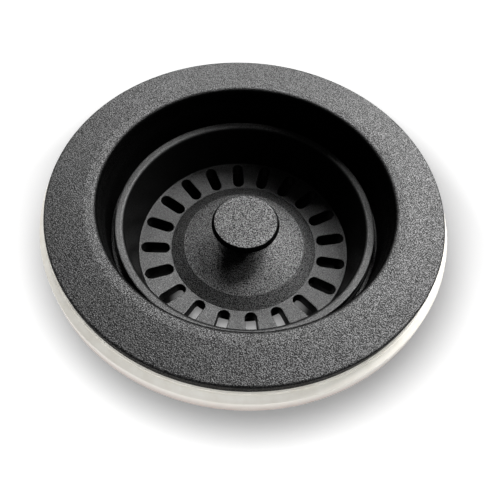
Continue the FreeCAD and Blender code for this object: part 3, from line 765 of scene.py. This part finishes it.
def head_plans():
    """Plans of the hexagon and of the two parts of it beside the slot."""
    corner_y = HEAD_RADIUS * math.sin(math.radians(60))
    hexagon = []
    for corner in range(6):
        turn = math.radians(60 * corner)
        hexagon.append((HEAD_RADIUS * math.cos(turn), HEAD_RADIUS * math.sin(turn)))
    jaw = [(DRIVE_HALF, -corner_y), (HEAD_RADIUS / 2, -corner_y), (HEAD_RADIUS, 0),
           (HEAD_RADIUS / 2, corner_y), (DRIVE_HALF, corner_y)]
    other_jaw = [(-x, -y) for x, y in jaw]
    return hexagon, jaw, other_jaw


def clamp_screw(number, angle, material):
    """Hexagon-head screw, head down, with a thread that stands out and a slot across its head."""
    node = f"clamp_screw_{number}"
    _, foot, tip = extent(node)
    head_top = foot + HEAD_HEIGHT
    slot_floor = foot + DRIVE_DEPTH
    hexagon, jaw, other_jaw = head_plans()
    pieces = [thread_loops(head_top - SHANK_IN_HEAD, tip),
              prism_loops(hexagon, slot_floor, head_top, chamfer_low=False),
              prism_loops(jaw, foot, slot_floor, chamfer_low=True),
              prism_loops(other_jaw, foot, slot_floor, chamfer_low=True)]
    surface = Surface()
    for loops in pieces:
        surface.add_loops(placed(loops, math.radians(angle), SCREW_REACH))
    return show(surface.mesh(node), [node], f"screw_{number}", material)


# ---------------------------------------------------------------- studio

# The floor's gap and reach are in millimetres; the studio's other lengths are in metres.
FLOOR_SIZE = 3.0
FLOOR_GAP = 0.05
FLOOR_REACH = 200.0
SOFTBOX_DISTANCE = 0.7
LAMP_PLACE = Vector((-3, -63, 111)) * MM
LAMP_RADIUS = 0.020
LAMP_STRENGTH = 4.0
SURROUND_LIGHT = 0.04
SURROUND_SEEN = 0.85
CAMERA_PLACE = Vector((2.27, -83.96, 114.95)) * MM
CAMERA_TARGET = Vector((2.27, -20.45, 10.0)) * MM
CAMERA_ROLL = math.radians(5.75)
CAMERA_SENSOR = 36.0
CAMERA_LENS = 33.12
CAMERA_NEAR = 0.005
CAMERA_FAR = 20.0


def floor_distance(finish):
    """Distance from the flange's axis along the floor, as a share of the floor tones' reach."""
    flat = finish.node("ShaderNodeVectorMath", {0: finish.place, 1: (1, 1, 0)},
                       operation="MULTIPLY").outputs[0]
    from_axis = finish.node("ShaderNodeVectorMath", {0: flat}, operation="LENGTH").outputs["Value"]
    return finish.join(from_axis, FLOOR_REACH * MM, "DIVIDE")


def floor_tones(finish, across, stops):
    """Greys along the floor; stops are distance from the axis in millimetres, grey pairs."""
    return finish.tones(across, [(distance / FLOOR_REACH, grey(value)) for distance, value in stops])


def pale_floor():
    """Pale finish with painted light and shade: it glows brightest far from the axis and dimly round
    the flange, and a painted shadow darkens a ring just within the neck.
    """
    finish = Finish("pale_floor", 0.9, specular=0.1)
    cloud = finish.noise(300, detail=2.0)
    pale = finish.tones(cloud, [(0.3, grey(0.86)), (0.7, grey(0.88))])
    across = floor_distance(finish)
    # Painted shadow: the floor is darkened in a ring just within the neck's wall, where the neck
    # shades it.
    painted_neck_shadow = floor_tones(finish, across, [(23, 1.0), (29, 0.03), (40.6, 0.03), (41.2, 1.0)])
    finish.colour(finish.blend(1.0, pale, painted_neck_shadow, "MULTIPLY"))
    # Painted light and shade: the floor glows faintly under the strainer's middle, not at all near
    # the neck's wall, dimly round the flange and fully far from it.
    painted_glow_and_shade = floor_tones(finish, across, [
        (21, 0.16), (28, 0.0), (40.6, 0.0), (41.2, 0.30), (110, 0.33), (168, 1.0)])
    finish.shader.inputs["Emission Color"].default_value = (1, 1, 1, 1)
    finish.drive("Emission Strength", painted_glow_and_shade)
    return finish.material


def studio_floor():
    """Level floor that the neck stands on."""
    _, neck_bottom, _ = extent("sink_flange")
    height = (neck_bottom - FLOOR_GAP) * MM
    corners = []
    for across, along in ((-1, -1), (1, -1), (1, 1), (-1, 1)):
        corners.append((across * FLOOR_SIZE, along * FLOOR_SIZE, height))
    mesh = bpy.data.meshes.new("studio_floor")
    mesh.from_pydata(corners, [], [(0, 1, 2, 3)])
    mesh.materials.append(pale_floor())
    floor = bpy.data.objects.new("studio_floor", mesh)
    bpy.context.scene.collection.objects.link(floor)
    return floor


def direction(azimuth, elevation):
    """Unit vector towards an azimuth from +X and an elevation, in degrees."""
    turn = math.radians(azimuth)
    rise = math.radians(elevation)
    return Vector((math.cos(turn) * math.cos(rise), math.sin(turn) * math.cos(rise), math.sin(rise)))


def softbox(name, azimuth, elevation, size, power, group):
    """A round soft light aimed at the flange, which reaches only what its group says."""
    data = bpy.data.lights.new(name, "AREA")
    data.shape = "DISK"
    data.size = size
    data.energy = power
    light = bpy.data.objects.new(name, data)
    bpy.context.scene.collection.objects.link(light)
    way = direction(azimuth, elevation)
    light.location = way * SOFTBOX_DISTANCE
    light.rotation_mode = "QUATERNION"
    light.rotation_quaternion = way.to_track_quat("Z", "Y")
    light.light_linking.receiver_collection = group


def light_group(name, pieces, state):
    """A collection that holds pieces, to include them in a light's reach or leave them out."""
    group = bpy.data.collections.new(name)
    for piece in pieces:
        group.objects.link(piece)
    for member in group.collection_objects:
        member.light_linking.link_state = state
    return group


def floor_lamp(group):
    """A small lamp near the camera whose light doesn't fade with distance, for the floor's shadow."""
    data = bpy.data.lights.new("floor_lamp", "POINT")
    data.shadow_soft_size = LAMP_RADIUS
    data.use_nodes = True
    tree = data.node_tree
    falloff = tree.nodes.new("ShaderNodeLightFalloff")
    falloff.inputs["Strength"].default_value = LAMP_STRENGTH
    tree.links.new(falloff.outputs["Constant"], tree.nodes["Emission"].inputs["Strength"])
    lamp = bpy.data.objects.new("floor_lamp", data)
    bpy.context.scene.collection.objects.link(lamp)
    lamp.location = LAMP_PLACE
    lamp.visible_camera = False
    lamp.light_linking.receiver_collection = group


def surround():
    """A surround that is dim as a light and pale where the camera sees it."""
    world = bpy.data.worlds.new("studio")
    world.use_nodes = True
    tree = world.node_tree
    background = tree.nodes["Background"]
    background.inputs["Color"].default_value = (1, 1, 1, 1)
    strength = tree.nodes.new("ShaderNodeMapRange")
    strength.inputs["To Min"].default_value = SURROUND_LIGHT
    strength.inputs["To Max"].default_value = SURROUND_SEEN
    rays = tree.nodes.new("ShaderNodeLightPath")
    tree.links.new(rays.outputs["Is Camera Ray"], strength.inputs["Value"])
    tree.links.new(strength.outputs["Result"], background.inputs["Strength"])
    bpy.context.scene.world = world


def studio_lights(floor, gasket):
    """Soft lights behind and beside the flange, one for the gasket alone, one for the floor alone."""
    all_but_floor = light_group("all_but_floor", [floor], "EXCLUDE")
    dark_parts = light_group("dark_parts", [floor, gasket], "EXCLUDE")
    floor_alone = light_group("floor_alone", [floor], "INCLUDE")
    gasket_alone = light_group("gasket_alone", [gasket], "INCLUDE")
    softbox("key_light", 57, 48, size=0.26, power=6.8, group=all_but_floor)
    softbox("back_light", 106, 42, size=0.24, power=2.8, group=all_but_floor)
    softbox("side_light", 14, 47, size=0.20, power=1.7, group=dark_parts)
    softbox("front_fill", 255, 62, size=0.30, power=2.9, group=gasket_alone)
    floor_lamp(floor_alone)


def studio_camera():
    """Camera that looks down into the mouth, a little rolled."""
    place = CAMERA_PLACE
    forward = (CAMERA_TARGET - place).normalized()
    level = forward.cross(Vector((0, 0, 1))).normalized()
    upright = level.cross(forward)
    right = level * math.cos(CAMERA_ROLL) + upright * math.sin(CAMERA_ROLL)
    top = upright * math.cos(CAMERA_ROLL) - level * math.sin(CAMERA_ROLL)
    data = bpy.data.cameras.new("camera")
    data.sensor_width = CAMERA_SENSOR
    data.lens = CAMERA_LENS
    data.clip_start = CAMERA_NEAR
    data.clip_end = CAMERA_FAR
    camera = bpy.data.objects.new("camera", data)
    bpy.context.scene.collection.objects.link(camera)
    camera.matrix_world = Matrix((
        (right.x, top.x, -forward.x, place.x),
        (right.y, top.y, -forward.y, place.y),
        (right.z, top.z, -forward.z, place.z),
        (0, 0, 0, 1),
    ))
    bpy.context.scene.camera = camera


# ---------------------------------------------------------------- build

NODE_FINISH = {
    "sink_flange": "flange", "rim_gasket": "cream", "fibre_gasket": "fibre",
    "backup_flange": "plated", "mounting_ring": "plated",
    "clamp_screw_1": "plated", "clamp_screw_2": "plated", "clamp_screw_3": "plated",
    "snap_ring": "stainless", "strainer_basket": "strainer", "basket_seal": "rubber",
    "centre_cap": "cap", "hub_washer": "stainless", "hub_nut": "brass", "guide_bush": "acetal",
    "stem_o_ring": "rubber", "knob": "cap", "knob_insert": "brass", "stem": "stainless",
    "stem_clip": "stainless", "upper_washer": "stainless", "stopper": "rubber",
    "lower_washer": "stainless", "stem_nut": "stainless",
}


def finish_nodes(materials):
    """Give every CAD node its procedural finish."""
    for name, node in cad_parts.items():
        material = materials[NODE_FINISH[name]]
        for slot in node.material_slots:
            slot.material = material


def build():
    """Make the finishes, the pieces and the studio."""
    materials = {
        "flange": sandy_coating("sandy_black", grain=0.28, depth=0.12, roughness=0.50,
                                dark=0.001, light=0.042, sparkle=0.62),
        "strainer": sandy_coating("strainer_black", grain=0.28, depth=0.06, roughness=0.48,
                                  dark=0.003, light=0.016, sparkle=0.35),
        "cap": sandy_coating("cap_black", grain=0.29, depth=0.13, roughness=0.48,
                             dark=0.001, light=0.048, sparkle=0.8),
        "cream": cream_rubber(),
        "rubber": black_rubber(),
        "plated": plated_steel(),
        "stainless": turned_metal("stainless_steel", (0.50, 0.50, 0.51), (0.64, 0.64, 0.63), 0.28),
        "brass": turned_metal("turned_brass", (0.60, 0.42, 0.18), (0.76, 0.56, 0.27), 0.3),
        "fibre": red_fibre(),
        "acetal": milky_acetal(),
    }
    finish_nodes(materials)
    sink_flange(materials["flange"])
    gasket = rim_gasket(materials["cream"])
    strainer_basket(materials["strainer"])
    centre_cap(materials["cap"])
    knob(materials["cap"])
    for number, angle in enumerate(SCREW_ANGLES, start=1):
        clamp_screw(number, angle, materials["plated"])
    floor = studio_floor()
    studio_lights(floor, gasket)
    surround()
    studio_camera()
    bpy.context.scene.view_settings.view_transform = "Standard"


build()
